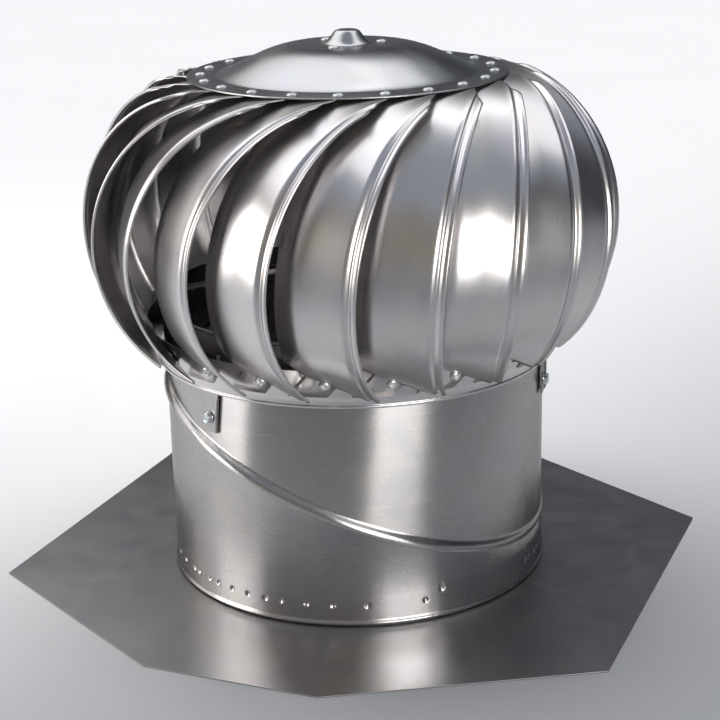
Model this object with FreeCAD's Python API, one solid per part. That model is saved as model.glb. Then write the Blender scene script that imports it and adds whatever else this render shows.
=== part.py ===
import FreeCAD, Part
import os
from math import asin, atan2, cos, degrees, hypot, pi, radians, sin

# Turbine roof vent for a 12 inch duct. A square flashing with cut corners carries a base made of two slanted
# collars, and a head with 21 curved vanes turns on a shaft held by braces inside it.
# Origin: duct axis on the underside of the flashing. +Z is up, -Y is the lower edge of the flashing on a roof.

# Sheet and running gaps
sheet = 0.8
vane_sheet = 0.7
running_gap = 0.4
seat_gap = 0.1

# Flat sides that stand in for each kind of round
duct_sides = 54
ring_sides = 63
cap_sides = 42
small_sides = 16
screw_sides = 10

# Flashing
flashing_half = 254.0
long_side_half = 148.0
short_side_half = 70.0
neck_height = 24.0
neck_lip = 1.3
neck_lip_height = 3.4

# Duct and the slanted seam between the two collars
duct_r = 153.5
seam_flare = 9.5
seam_height = 103.0
seam_tilt = 22.5
seam_heading = 8.0
seam_hem = 2.6
seam_shoulder = 3.5
collar_start = 1.8
collar_straight = 27.0
foot_bead = 1.7
foot_bead_height = 3.6
collar_round_height = 188.0
collar_top = 212.0

# Fixed throat ring, clips and screws
throat_bottom = 192.0
throat_top = 228.0
throat_curl = 2.4
arm_count = 3
arm_heading = 7.6
clip_top = 210.0
clip_bottom = 149.0
clip_bend_height = 190.0
clip_wall_gap = 0.6
clip_width = 18.0
clip_sheet = 1.2
clip_flange = 4.0
clip_flange_top = 177.0
screw_height = 160.0
screw_r = 1.9
screw_head_r = 4.3
screw_head_height = 3.0
screw_length = 12.0
clip_rivet_height = 202.0

# Braces, bearing tube, bearings and shaft
brace_width = 16.0
brace_sheet = 1.6
brace_gap = 0.6
brace_land = 4.0
lower_brace_land = 8.0
brace_end_gap = 2.0
brace_foot_low = 197.0
brace_foot_high = 222.0
tube_bottom = 240.0
tube_top = 352.0
tube_r = 14.5
tube_flange_r = 34.0
tube_flange_sheet = 2.5
bearing_outer_r = 11.0
bearing_width = 7.0
bearing_inner_r = 6.6
shaft_r = 4.0
race_gap = 0.3
shaft_bottom = 226.0
shaft_top = 428.0
nut_height = 6.5
nut_flats = 13.0

# Cap and its hub
cap_r = 125.7
cap_underside = 402.5
cap_hem = 2.2
cap_rim_inner_r = 102.5
cap_seat_r = 38.0
cap_rise = 21.5
dome_bands = 3
dome_fullness = 1.2
rim_chamfer = 0.6
nub_foot_r = 16.0
nub_top_r = 8.6
nub_height = 10.7
hub_r = 35.0
hub_plate = 3.0
hub_boss_r = 9.0
hub_boss_bottom = 388.0
hub_rivet_circle = 27.0
hub_rivet_heading = 30.0
hub_rivet_count = 3

# Head ring at the bottom of the vanes
ring_bottom = 180.4
ring_clip_gap = 1.02
ring_hem = 1.0
ring_band_top = 187.0
ring_top = 212.0
ring_flare = 8.9

# Vanes: straight strips rolled over a level cylinder, set at an angle to the rim
vane_count = 21
vane_phase = 1.5
vane_swell = 54.3
vane_mid_height = 280.0
vane_width = 66.3
vane_set = 31.2
vane_lean = 0.10
vane_bend_low = 116.0
vane_rows = 8
vane_bottom = 188.0
hem_width = 3.4
hem_sheet = 2.2
groove_at = 6.6
groove_depth = 1.6
crest_at = 9.6
crest_lift = 1.0
turn_at = 51.8
turn_lift = 4.7
tab_left = 29.0
tab_bottom = 189.6
tab_slant = 0.3
tab_flat_gap = 0.55
foot_slant = 0.54
hem_end = 157.0
clip_corner_at = 12.3
clip_corner_end = 190.5
tab_end_r = 104.0
fade_start = 95.0
fade_end = 158.0
foot_fade_start = 50.0
foot_fade_end = 92.0

# Rivets of the head
rivet_head_r = 3.2
rivet_head_height = 1.3
rivet_sides = 6
cap_rivet_r = 114.7
cap_rivet_phase = 14.7
ring_rivet_height = 200.5
ring_rivet_phase = 10.45
ring_rivet_lift = 2.7

Z = FreeCAD.Vector(0, 0, 1)
ORIGIN = FreeCAD.Vector(0, 0, 0)
inner_duct_r = duct_r - sheet
seam_r = duct_r + seam_flare
vane_bend_up = cap_underside - rim_chamfer - seat_gap - vane_mid_height
ring_slope = ring_flare / (ring_top - ring_band_top)


def point(x, y, z):
    return FreeCAD.Vector(x, y, z)


def polar(r, heading, z):
    return point(r * cos(radians(heading)), r * sin(radians(heading)), z)


def face_between(a, b, c, d):
    """Faces that fill the corners a, b, c, d: one if they are flat, else two triangles."""
    corners = [a]
    for corner in (b, c, d):
        if all(corner.distanceToPoint(other) > 1e-6 for other in corners):
            corners.append(corner)
    if len(corners) < 3:
        return []
    if len(corners) == 4:
        normal = (b - a).cross(c - a)
        if abs(normal.dot(d - a)) > 1e-6 * normal.Length:
            return [Part.Face(Part.makePolygon([a, b, c, a])), Part.Face(Part.makePolygon([a, c, d, a]))]
    return [Part.Face(Part.makePolygon(corners + corners[:1]))]


def closed_solid(faces):
    shell = Part.Shell(faces)
    shell.sewShape()
    return Part.Solid(shell)


def ring_solid(stations):
    """Solid from the same closed outline placed at each station round the axis."""
    faces = []
    for here, ahead in zip(stations, stations[1:] + stations[:1]):
        for j in range(len(here)):
            faces += face_between(here[j - 1], ahead[j - 1], ahead[j], here[j])
    return closed_solid(faces)


def turned(outline, sides, heading=0):
    """Solid of flat sides about Z from an outline of (radius, height) corners."""
    headings = [heading + 360 * k / sides for k in range(sides)]
    return ring_solid([[polar(r, at, z) for r, z in outline] for at in headings])


def prism(r, sides, length):
    """Prism on the YZ plane with its length along +X."""
    corners = [point(0, r * cos(2 * pi * k / sides), r * sin(2 * pi * k / sides)) for k in range(sides)]
    return Part.Face(Part.makePolygon(corners + corners[:1])).extrude(point(length, 0, 0))


def extruded(outline, width):
    """Plate of an outline of (x, z) corners, centred on the XZ plane."""
    corners = [point(x, -width / 2, z) for x, z in outline]
    face = Part.Face(Part.makePolygon(corners + corners[:1]))
    return face.extrude(point(0, width, 0))


def headed(shape, heading):
    copy = shape.copy()
    copy.rotate(ORIGIN, Z, heading)
    return copy


def ring_of(shape, count, heading):
    """Group of separate copies spaced evenly about Z."""
    return Part.makeCompound([headed(shape, heading + 360 * k / count) for k in range(count)])


def seam_point(r, heading, offset):
    """Point at a radius and height measured from the tilted plane of the seam."""
    place = polar(r, heading, offset)
    turn = FreeCAD.Rotation(polar(1, seam_heading + 90, 0), seam_tilt)
    return turn.multVec(place) + point(0, 0, seam_height)


def collar_wall_r(heading, z):
    """Radius of the upper collar's wall at a height between the seam and the round top."""
    seam = seam_point(seam_r, heading, seam_hem / 2 + running_gap + seam_shoulder)
    crown = polar(duct_r, heading, collar_round_height)
    place = seam + (crown - seam) * ((z - seam.z) / (crown.z - seam.z))
    return hypot(place.x, place.y)


wall_at_clips = max(collar_wall_r(arm_heading + 360 * k / arm_count, clip_bottom) for k in range(arm_count))
clip_inner_r = duct_r + 2 * seat_gap + sheet
clip_lean = max(wall_at_clips - duct_r, 0) + clip_wall_gap
clip_slope = clip_lean / (clip_bend_height - clip_bottom)


def clip_r(z):
    """Radius of the inner face of a clip at a height; below its bend it leans out along the collar."""
    return clip_inner_r + clip_slope * max(clip_bend_height - z, 0)


ring_r = clip_r(ring_bottom) + clip_sheet + ring_clip_gap + sheet
ring_top_r = ring_r + ring_flare
vane_r = ring_r + vane_swell


def duct_headings():
    return [seam_heading + 360 * k / duct_sides for k in range(duct_sides)]


def roof_flashing():
    """Eight-sided flashing sheet with an upright neck and a lip that holds the collar down."""
    corners = []
    for x, y in ((1, 1), (-1, 1), (-1, -1), (1, -1)):
        long_corner = point(x * flashing_half, y * long_side_half, 0)
        short_corner = point(x * short_side_half, y * flashing_half, 0)
        corners += [long_corner, short_corner] if x * y > 0 else [short_corner, long_corner]
    plate = Part.Face(Part.makePolygon(corners + corners[:1])).extrude(point(0, 0, sheet))
    lip_r = inner_duct_r - running_gap
    wall_r = lip_r - neck_lip
    neck = Part.makeCylinder(wall_r, neck_height)
    lip = Part.makeCylinder(lip_r, neck_lip_height, point(0, 0, neck_height - neck_lip_height))
    bore = Part.makeCylinder(wall_r - sheet, neck_height)
    return plate.fuse([neck, lip]).removeSplitter().cut(bore)


def lower_collar():
    """Collar that turns on the flashing neck; its slanted top has an outward hem."""
    band_low = -seam_hem / 2 - 2 * sheet - 2 * running_gap

    def outline(heading):
        return [
            polar(inner_duct_r, heading, collar_start),
            polar(duct_r, heading, collar_start),
            polar(duct_r + foot_bead, heading, foot_bead_height),
            polar(duct_r, heading, foot_bead_height + foot_bead),
            polar(duct_r, heading, collar_straight),
            seam_point(seam_r, heading, band_low),
            seam_point(seam_r, heading, -seam_hem / 2 - sheet),
            seam_point(seam_r + seam_hem, heading, -seam_hem / 2),
            seam_point(seam_r + seam_hem, heading, seam_hem / 2),
            seam_point(seam_r - sheet, heading, seam_hem / 2),
            seam_point(seam_r - sheet, heading, band_low),
            polar(inner_duct_r, heading, collar_straight),
        ]

    return ring_solid([outline(heading) for heading in duct_headings()])


def upper_collar():
    """Collar whose rolled edge wraps the hem of the lower one, so that turning it sets the roof pitch."""
    top = seam_hem / 2 + running_gap
    low = -seam_hem / 2 - sheet - running_gap
    lip = seam_r + running_gap + sheet
    reach = seam_r + seam_hem + running_gap

    def outline(heading):
        return [
            seam_point(seam_r - sheet, heading, top),
            seam_point(reach, heading, top),
            seam_point(reach, heading, low + sheet),
            seam_point(lip, heading, low),
            seam_point(lip, heading, low - sheet),
            seam_point(reach + sheet, heading, low),
            seam_point(reach + sheet, heading, top + sheet / 2),
            seam_point(seam_r, heading, top + seam_shoulder),
            polar(duct_r, heading, collar_round_height),
            polar(duct_r, heading, collar_top),
            polar(inner_duct_r, heading, collar_top),
            polar(inner_duct_r, heading, collar_round_height),
            seam_point(seam_r - sheet, heading, top + seam_shoulder),
        ]

    body = ring_solid([outline(heading) for heading in duct_headings()])
    hole = prism(screw_r, screw_sides, 2 * screw_length)
    hole.translate(point(clip_r(screw_height) - 1.5 * screw_length, 0, screw_height))
    return body.cut([headed(hole, arm_heading + 360 * k / arm_count) for k in range(arm_count)])


def throat_ring():
    """Fixed ring over the collar top with a curled upper edge."""
    inner = duct_r + seat_gap
    outer = inner + sheet
    return turned([
        (inner, throat_bottom),
        (outer, throat_bottom),
        (outer, throat_top - throat_curl),
        (outer + throat_curl / 2, throat_top - throat_curl / 2),
        (outer, throat_top),
        (inner, throat_top),
    ], duct_sides, seam_heading)


def head_clip():
    """Strip that hangs from the throat ring outside the collar, with a stiffening flange on one edge."""
    inner = clip_inner_r
    foot = clip_r(clip_bottom)
    strip = extruded([
        (inner, clip_top),
        (inner + clip_sheet, clip_top),
        (inner + clip_sheet, clip_bend_height),
        (foot + clip_sheet, clip_bottom),
        (foot, clip_bottom),
        (inner, clip_bend_height),
    ], clip_width)
    start = clip_r(clip_flange_top)
    flange = extruded([
        (start, clip_flange_top),
        (start + clip_sheet, clip_flange_top),
        (foot + clip_sheet + clip_flange, clip_bottom + clip_flange),
        (foot + clip_sheet + clip_flange, clip_bottom),
        (foot, clip_bottom),
    ], clip_sheet)
    flange.translate(point(0, clip_width / 2 - clip_sheet / 2, 0))
    hole = prism(screw_r, screw_sides, 2 * screw_length)
    hole.translate(point(clip_r(screw_height) - screw_length, 0, screw_height))
    return strip.fuse(flange).removeSplitter().cut(hole)


def clip_screw():
    """Hexagon-headed sheet screw through clip and collar."""
    seat = clip_r(screw_height) + clip_sheet + running_gap
    head = prism(screw_head_r, 6, screw_head_height)
    head.translate(point(seat, 0, screw_height))
    shank = prism(screw_r, screw_sides, screw_length)
    shank.translate(point(seat - screw_length, 0, screw_height))
    return head.fuse(shank).removeSplitter()


def brace_leg():
    """Strip from the inside of the collar top up to the upper flange of the bearing tube."""
    foot = inner_duct_r - brace_gap
    flange_under = tube_top - tube_flange_sheet
    end = tube_r + brace_end_gap
    return extruded([
        (foot, brace_foot_low),
        (foot, brace_foot_high),
        (tube_flange_r + brace_land, flange_under),
        (end, flange_under),
        (end, flange_under - brace_sheet),
        (tube_flange_r + brace_land - brace_sheet, flange_under - brace_sheet),
        (foot - brace_sheet, brace_foot_high - brace_sheet),
        (foot - brace_sheet, brace_foot_low),
    ], brace_width)


def lower_brace():
    """Strip from the inside of the collar top to the lower flange of the bearing tube."""
    foot = inner_duct_r - brace_gap
    flange_top = tube_bottom + tube_flange_sheet
    end = tube_r + brace_end_gap
    return extruded([
        (foot, brace_foot_low),
        (foot, brace_foot_high - brace_sheet),
        (tube_flange_r + lower_brace_land, flange_top + brace_sheet),
        (end, flange_top + brace_sheet),
        (end, flange_top),
        (tube_flange_r + lower_brace_land, flange_top),
        (foot - brace_sheet, brace_foot_high - 2 * brace_sheet),
        (foot - brace_sheet, brace_foot_low),
    ], brace_width)


def bearing_tube():
    """Tube with a flange and a bearing seat at each end."""
    bore = bearing_outer_r - 2.5
    return turned([
        (bearing_outer_r, tube_bottom),
        (tube_flange_r, tube_bottom),
        (tube_flange_r, tube_bottom + tube_flange_sheet),
        (tube_r, tube_bottom + tube_flange_sheet),
        (tube_r, tube_top - tube_flange_sheet),
        (tube_flange_r, tube_top - tube_flange_sheet),
        (tube_flange_r, tube_top),
        (bearing_outer_r, tube_top),
        (bearing_outer_r, tube_top - bearing_width),
        (bore, tube_top - bearing_width),
        (bore, tube_bottom + bearing_width),
        (bearing_outer_r, tube_bottom + bearing_width),
    ], small_sides)


def bearing_outer_race(z):
    return turned([
        (bearing_inner_r + race_gap, z),
        (bearing_outer_r, z),
        (bearing_outer_r, z + bearing_width),
        (bearing_inner_r + race_gap, z + bearing_width),
    ], small_sides)


def bearing_inner_race(z):
    return turned([
        (shaft_r, z),
        (bearing_inner_r, z),
        (bearing_inner_r, z + bearing_width),
        (shaft_r, z + bearing_width),
    ], small_sides)


def rotor_shaft():
    """Steel shaft held in the hub; it hangs the head in the two bearings."""
    return turned([(0, shaft_bottom), (shaft_r, shaft_bottom), (shaft_r, shaft_top), (0, shaft_top)], small_sides)


def spacer_collar():
    """Collar on the shaft that rests on the inner race of the upper bearing."""
    return turned([
        (shaft_r, tube_top),
        (bearing_inner_r, tube_top),
        (bearing_inner_r, hub_boss_bottom),
        (shaft_r, hub_boss_bottom),
    ], small_sides)


def shaft_nut():
    """Lock nut under the lower bearing."""
    corner_r = nut_flats / 2 / cos(pi / 6)
    corners = [polar(corner_r, 60 * k, tube_bottom - nut_height) for k in range(6)]
    body = Part.Face(Part.makePolygon(corners + corners[:1])).extrude(point(0, 0, nut_height))
    return body.cut(rotor_shaft())


def dome_height(r):
    """Height of the cap's top face; between the rim and the seat of the hub it is an arc."""
    share = min(max((cap_rim_inner_r - r) / (cap_rim_inner_r - cap_seat_r), 0), 1)
    return cap_underside + sheet + cap_rise * sin(share * pi / 2) ** dome_fullness


def turbine_cap():
    """Pressed cap: flat rim over the vane tabs, shallow dome, raised boss in the middle."""
    seat = dome_height(0)
    nub = seat + nub_height
    run = cap_rim_inner_r - cap_seat_r
    steps = [cap_seat_r + run * k / dome_bands for k in range(dome_bands + 1)]
    outside = [(r, dome_height(r)) for r in steps]
    inside = [(r, z - sheet) for r, z in reversed(outside)]
    top = [(0, nub), (nub_top_r, nub), (nub_foot_r, seat)]
    rim = [
        (cap_r - rim_chamfer, cap_underside + sheet),
        (cap_r, cap_underside + sheet - rim_chamfer),
        (cap_r - rim_chamfer, cap_underside - rim_chamfer),
        (cap_r - cap_hem, cap_underside),
    ]
    under = [(nub_foot_r - sheet, seat - sheet), (nub_top_r - sheet, nub - sheet), (0, nub - sheet)]
    return turned(top + outside + rim + inside + under, cap_sides)


def rotor_hub():
    """Turned hub riveted under the cap; its boss grips the shaft."""
    plate_top = cap_underside + cap_rise
    return turned([
        (shaft_r, hub_boss_bottom),
        (hub_boss_r, hub_boss_bottom),
        (hub_boss_r, plate_top - hub_plate),
        (hub_r, plate_top - hub_plate),
        (hub_r, plate_top),
        (shaft_r, plate_top),
    ], small_sides)


def rotor_ring():
    """Ring at the foot of the head: hemmed band with a flared wall that the vane tabs are riveted to."""
    inner = ring_r - sheet
    return turned([
        (inner, ring_bottom),
        (ring_r + ring_hem, ring_bottom),
        (ring_r + ring_hem, ring_bottom + 2 * ring_hem),
        (ring_r, ring_bottom + 2 * ring_hem),
        (ring_r, ring_band_top),
        (ring_top_r, ring_top),
        (ring_top_r - sheet, ring_top),
        (inner, ring_band_top),
    ], ring_sides, vane_phase)


def ring_wall_r(z):
    return ring_r + ring_slope * min(max(z - ring_band_top, 0), ring_top - ring_band_top)


def vane_fade(u):
    """How much of the pressed form is left at arc length u; it dies out towards the cap and the ring."""
    start, end = (fade_start, fade_end) if u > 0 else (foot_fade_start, foot_fade_end)
    t = min(max((abs(u) - start) / (end - start), 0), 1)
    return 1 - t * t * (3 - 2 * t)


def vane_point(w, u, lift):
    """Place on the rolled strip: w across it from the outer edge, u along its arc from mid height."""
    bend = vane_bend_up if u > 0 else vane_bend_low
    angle = min(u / bend, pi / 2)
    past = max(u - bend * pi / 2, 0)
    inward = bend * (1 - cos(angle)) + past - lift * cos(angle)
    rise = bend * sin(angle)
    across = w - vane_lean * rise
    turn = radians(vane_set)
    x = vane_r - inward * cos(turn) - across * sin(turn)
    y = inward * sin(turn) - across * cos(turn)
    return point(x, y, vane_mid_height + rise + lift * sin(angle))


def vane_start(w):
    """Arc length of the foot: square at the hem, then cut at a slant that clears the head ring."""
    foot = vane_bottom + foot_slant * max(w - crest_at, 0)
    return -vane_bend_low * asin((vane_mid_height - foot) / vane_bend_low)


def vane_end(w):
    """Arc length where the strip ends: a clipped corner outside, a tab under the cap rim inside."""
    if w <= clip_corner_at:
        return hem_end + (clip_corner_end - hem_end) * w / clip_corner_at
    low = 0
    high = 2 * vane_bend_up
    while high - low > 1e-6:
        middle = (low + high) / 2
        place = vane_point(w, middle, 0)
        if hypot(place.x, place.y) > tab_end_r:
            low = middle
        else:
            high = middle
    return low


def vane_tab_point(place, lift):
    """Point of the foot tab below a seated point; the tab is flat on the ring wall and narrows downwards."""
    heading = degrees(atan2(place.y, place.x)) + tab_slant * (place.z - tab_bottom)
    return polar(ring_wall_r(tab_bottom) + tab_flat_gap + lift, heading, tab_bottom)


def sheet_solid(front, back, cells):
    """Closed solid between two grids of points over the given cells."""
    faces = []
    for i, j in cells:
        faces += face_between(front[i][j], front[i][j + 1], front[i + 1][j + 1], front[i + 1][j])
        faces += face_between(back[i][j], back[i + 1][j], back[i + 1][j + 1], back[i][j + 1])
        rims = (
            ((i, j - 1), (i, j), (i + 1, j)),
            ((i, j + 1), (i, j + 1), (i + 1, j + 1)),
            ((i - 1, j), (i, j), (i, j + 1)),
            ((i + 1, j), (i + 1, j), (i + 1, j + 1)),
        )
        for neighbour, (p, q), (r, s) in rims:
            if neighbour not in cells:
                faces += face_between(front[p][q], front[r][s], back[r][s], back[p][q])
    return closed_solid(faces)


def vane():
    """One vane: hemmed outer edge, rain groove, panel and a turned-in inner edge, with tabs at both ends."""
    columns = [
        (0, 0, hem_sheet),
        (hem_width, 0, hem_sheet),
        (groove_at, -groove_depth, vane_sheet),
        (crest_at, crest_lift, vane_sheet),
        (tab_left, crest_lift + (turn_lift - crest_lift) * (tab_left - crest_at) / (turn_at - crest_at), vane_sheet),
        (turn_at, turn_lift, vane_sheet),
        (vane_width, 0, vane_sheet),
    ]
    front = []
    back = []
    for w, lift, thick in columns:
        start = vane_start(w)
        end = vane_end(w)
        stations = [start + (end - start) * k / vane_rows for k in range(vane_rows + 1)]
        pressed = [lift * (vane_fade(u) if w >= crest_at else 1) for u in stations]
        outside = [vane_point(w, u, rise) for u, rise in zip(stations, pressed)]
        inside = [vane_point(w, u, rise - thick) for u, rise in zip(stations, pressed)]
        front.append([vane_tab_point(inside[0], vane_sheet)] + outside)
        back.append([vane_tab_point(inside[0], 0)] + inside)
    tab_column = 4
    cells = {(j, i) for j in range(len(columns) - 1) for i in range(1, vane_rows + 1)}
    cells.add((tab_column, 0))
    return sheet_solid(front, back, cells)


def rivet_head():
    """Low rivet head on the origin, standing along Z."""
    top_r = rivet_head_r * 0.6
    outline = [(0, 0), (rivet_head_r, 0), (top_r, rivet_head_height), (0, rivet_head_height)]
    return turned(outline, rivet_sides)


def cap_rivets():
    head = rivet_head()
    head.translate(point(cap_rivet_r, 0, cap_underside + sheet))
    return ring_of(head, vane_count, cap_rivet_phase)


def ring_rivets():
    head = rivet_head()
    lean = 90 + degrees(atan2(ring_slope, 1))
    head.rotate(ORIGIN, point(0, 1, 0), lean)
    seat = ring_wall_r(ring_rivet_height) + ring_rivet_lift
    head.translate(point(seat, 0, ring_rivet_height))
    return ring_of(head, vane_count, ring_rivet_phase)


def hub_rivets():
    head = rivet_head()
    head.translate(point(hub_rivet_circle, 0, cap_underside + sheet + cap_rise))
    return ring_of(head, hub_rivet_count, hub_rivet_heading)


def clip_rivets():
    head = rivet_head()
    head.rotate(ORIGIN, point(0, 1, 0), 90)
    head.translate(point(clip_r(clip_rivet_height) + clip_sheet, 0, clip_rivet_height))
    return ring_of(head, arm_count, arm_heading)


def arms(name, shape, heading):
    """One named piece for each of the arms."""
    return {f"{name}_{k + 1}": headed(shape, heading + 360 * k / arm_count) for k in range(arm_count)}


def build():
    pieces = {
        "roof_flashing": roof_flashing(),
        "lower_collar": lower_collar(),
        "upper_collar": upper_collar(),
        "throat_ring": throat_ring(),
        "clip_screws": ring_of(clip_screw(), arm_count, arm_heading),
        "clip_rivets": clip_rivets(),
        "bearing_tube": bearing_tube(),
        "upper_bearing_outer_race": bearing_outer_race(tube_top - bearing_width),
        "lower_bearing_outer_race": bearing_outer_race(tube_bottom),
        "upper_bearing_inner_race": bearing_inner_race(tube_top - bearing_width),
        "lower_bearing_inner_race": bearing_inner_race(tube_bottom),
        "rotor_shaft": rotor_shaft(),
        "spacer_collar": spacer_collar(),
        "shaft_nut": shaft_nut(),
        "turbine_cap": turbine_cap(),
        "rotor_hub": rotor_hub(),
        "rotor_ring": rotor_ring(),
        "cap_rivets": cap_rivets(),
        "ring_rivets": ring_rivets(),
        "hub_rivets": hub_rivets(),
    }
    pieces.update(arms("head_clip", head_clip(), arm_heading))
    pieces.update(arms("brace_leg", brace_leg(), arm_heading))
    pieces.update(arms("lower_brace", lower_brace(), arm_heading + 180 / arm_count))
    first_vane = vane()
    for k in range(vane_count):
        pieces[f"vane_{k + 1:02d}"] = headed(first_vane, vane_phase + 360 * k / vane_count)
    return pieces


os.makedirs("parts", exist_ok=True)
for node, shape in build().items():
    shape.exportStep(os.path.join("parts", node + ".step"))
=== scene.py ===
from functools import partial
from math import asin, atan2, cos, hypot, pi, radians, sin

import bpy
import numpy as np
from mathutils import Matrix, Vector


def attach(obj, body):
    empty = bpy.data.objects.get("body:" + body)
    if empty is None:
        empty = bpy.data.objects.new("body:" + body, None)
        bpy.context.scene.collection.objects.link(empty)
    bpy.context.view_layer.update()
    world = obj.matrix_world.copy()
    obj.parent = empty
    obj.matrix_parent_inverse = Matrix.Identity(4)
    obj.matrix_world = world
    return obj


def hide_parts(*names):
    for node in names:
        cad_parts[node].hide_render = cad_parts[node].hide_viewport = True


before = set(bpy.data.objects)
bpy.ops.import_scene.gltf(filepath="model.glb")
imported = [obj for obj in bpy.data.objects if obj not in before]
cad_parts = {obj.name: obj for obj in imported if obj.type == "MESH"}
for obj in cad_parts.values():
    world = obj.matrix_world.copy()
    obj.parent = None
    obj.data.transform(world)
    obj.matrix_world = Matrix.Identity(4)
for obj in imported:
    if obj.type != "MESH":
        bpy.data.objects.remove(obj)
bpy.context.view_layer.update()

bl_info = {
    "name": "Turbine roof vent",
    "version": (1, 0, 0),
    "blender": (4, 5, 0),
    "location": "3D View > Sidebar > Vent",
    "description": "Dresses the solids of a turbine roof vent with pressed sheet, vanes, rivets and finishes",
    "category": "Object",
}

MM = 0.001

# Sheets, laps and small forms, as in the solids
SHEET = 0.8 * MM
GAP = 0.4 * MM
SEAT = 0.1 * MM
DUCT_R = 153.5 * MM
COLLAR_START = 1.8 * MM
FOOT_BEAD_HEIGHT = 3.6 * MM
COLLAR_STRAIGHT = 27 * MM
SEAM_HEM = 2.6 * MM
SEAM_SHOULDER = 3.5 * MM
COLLAR_ROUND = 188 * MM
COLLAR_TOP = 212 * MM
THROAT = (192 * MM, 228 * MM)
RING_R = 158.7 * MM
RING_TOP_R = 167.6 * MM
RING_HEIGHTS = (180.4 * MM, 187 * MM, 212 * MM)
CAP_UNDERSIDE = 402.5 * MM
CAP_RIM_INNER = 102.5 * MM
CAP_SEAT = 38 * MM
DOME_FULLNESS = 1.2
VANE_FOOT = 188 * MM
VANE_FOOT_SLANT = 0.54
VANE_FADES = ((95 * MM, 158 * MM), (50 * MM, 92 * MM))
VANE_HEM_END = 157 * MM
VANE_CORNER = (12.3 * MM, 190.5 * MM)
VANE_TAB_END_R = 104 * MM
VANE_ROWS = 88
HEM = 3.4 * MM
HEM_THICK = 2.2 * MM
INNER_FOLD = 3.2 * MM
CREST_AT = 9.6 * MM
CREST_SIDE = 2.2 * MM
FOOT_TAB = (29 * MM, 51.8 * MM)
FOOT_TAB_BOTTOM = 189.6 * MM
FOOT_TAB_GAP = 0.55 * MM
FOOT_TAB_SLANT = 0.3
FOOT_TAB_STEPS = (0.12, 0.5, 1.0)
CLIP_BEND = 190 * MM
CLIP_FOOT = 149 * MM
CLIP_TOP = 210 * MM
CLIP_WIDTH = 18 * MM
CLIP_SHEET = 1.2 * MM
SCREW_HEIGHT = 160 * MM
SCREW_HEXAGON = 3.8 * MM
CLIP_RIVET_HEIGHT = 202 * MM
RING_RIVET_HEIGHT = 200.5 * MM
HUB_RIVET_CIRCLE = 27 * MM
ARMS = 3
ARM_HEADING = 7.6

# Steps to the metre within which corners of a solid count as one
MERGE_STEPS = 1e7

# How much of its glancing reflection the sheet keeps: dull sheet keeps a little less, and the value is set lower still
# as painted shade that darkens the sides of the collars where they turn away
SHADED_EDGE_TINT = 0.5

# Radius at which patterns are measured round the duct axis
WRAP_R = 0.155

# Turn of the view, in degrees, from the flashing's own front
VIEW_TURN = 22.57

# Headings of the pressed dimples that hold the lower collar on its neck; one sits higher than the others
DIMPLES = [
    -134.4, -127.4, -124.4, -118.4, -114.4, -108.4, -102.4, -96.4, -91.4, -83.4, -75.4, -65.4, -48.4, -43.4, -7.4,
    -4.4, 0.6, 3.6, 7.6, 17, 26.5, 36, 47, 55.5, 66, 77, 86, 97.5, 108, 117, 128.5, 139, 148, 159.5, 169, 180.5,
    191, 200.5, 211, 219,
]
HIGH_DIMPLE = -43.4
HIGH_DIMPLE_LIFT = 7 * MM

# Sizes of a vane that the tree which rolls it takes
VANE_INPUTS = ("Outer radius", "Mid height", "Upper bend", "Lower bend", "Set angle", "Lean")


def length(name, description, default):
    return bpy.props.FloatProperty(name=name, description=description, default=default, unit="LENGTH", precision=4)


def angle(name, description, default):
    return bpy.props.FloatProperty(name=name, description=description, default=radians(default), subtype="ANGLE")


def colour(name, description, default):
    return bpy.props.FloatVectorProperty(
        name=name, description=description, default=default, size=3, min=0, max=1, subtype="COLOR"
    )


def share(name, description, default, top=1.0):
    return bpy.props.FloatProperty(name=name, description=description, default=default, min=0, max=top)


class VentCollarSizes(bpy.types.PropertyGroup):
    duct_radius: length("Duct radius", "Outer radius of the duct collars", 0.1535)
    seam_radius: length("Seam radius", "Radius of the slanted seam circle", 0.163)
    seam_height: length("Seam height", "Height of the middle of the slanted seam", 0.103)
    seam_tilt: angle("Seam tilt", "Tilt of the seam circle", 22.5)
    seam_heading: angle("Seam heading", "Direction in which the seam is lowest", 8)
    bead: length("Foot bead", "How far the bead at the foot stands out", 0.0017)
    dimple_depth: length("Dimple depth", "Depth of the dimples over the neck", 0.0013)
    dimple_radius: length("Dimple radius", "Radius of the dimples over the neck", 0.0026)
    dimple_height: length("Dimple height", "Height of the row of dimples", 0.018)


class VentVaneSizes(bpy.types.PropertyGroup):
    count: bpy.props.IntProperty(name="Vanes", description="Number of vanes round the head", default=21, min=3)
    first_heading: angle("First vane", "Direction of the first vane", 1.5)
    outer_radius: length("Outer radius", "Radius of the outer edge at mid height", 0.213)
    mid_height: length("Mid height", "Height of the widest part of the vanes", 0.280)
    width: length("Width", "Width of one vane strip", 0.0663)
    sheet: length("Sheet", "Thickness of the vane sheet", 0.0007)
    set_angle: angle("Set angle", "Turn of a vane against the rim", 31.2)
    lean: bpy.props.FloatProperty(name="Lean", description="Sideways lean over the height", default=0.10)
    upper_bend: length("Upper bend", "Bend radius above mid height", 0.1218)
    lower_bend: length("Lower bend", "Bend radius below mid height", 0.116)


class VentCapSizes(bpy.types.PropertyGroup):
    radius: length("Cap radius", "Outer radius of the cap rim", 0.1257)
    rise: length("Dome rise", "Rise of the dome over the rim", 0.0215)
    nub_radius: length("Boss radius", "Foot radius of the raised boss", 0.0175)
    nub_top: length("Boss top", "Top radius of the raised boss", 0.0100)
    nub_height: length("Boss height", "Height of the raised boss", 0.0107)
    rivet_circle: length("Rivet circle", "Radius of the rivet circle on the rim", 0.1147)
    rivet_radius: length("Rivet radius", "Radius of a rivet head", 0.0044)


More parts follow.
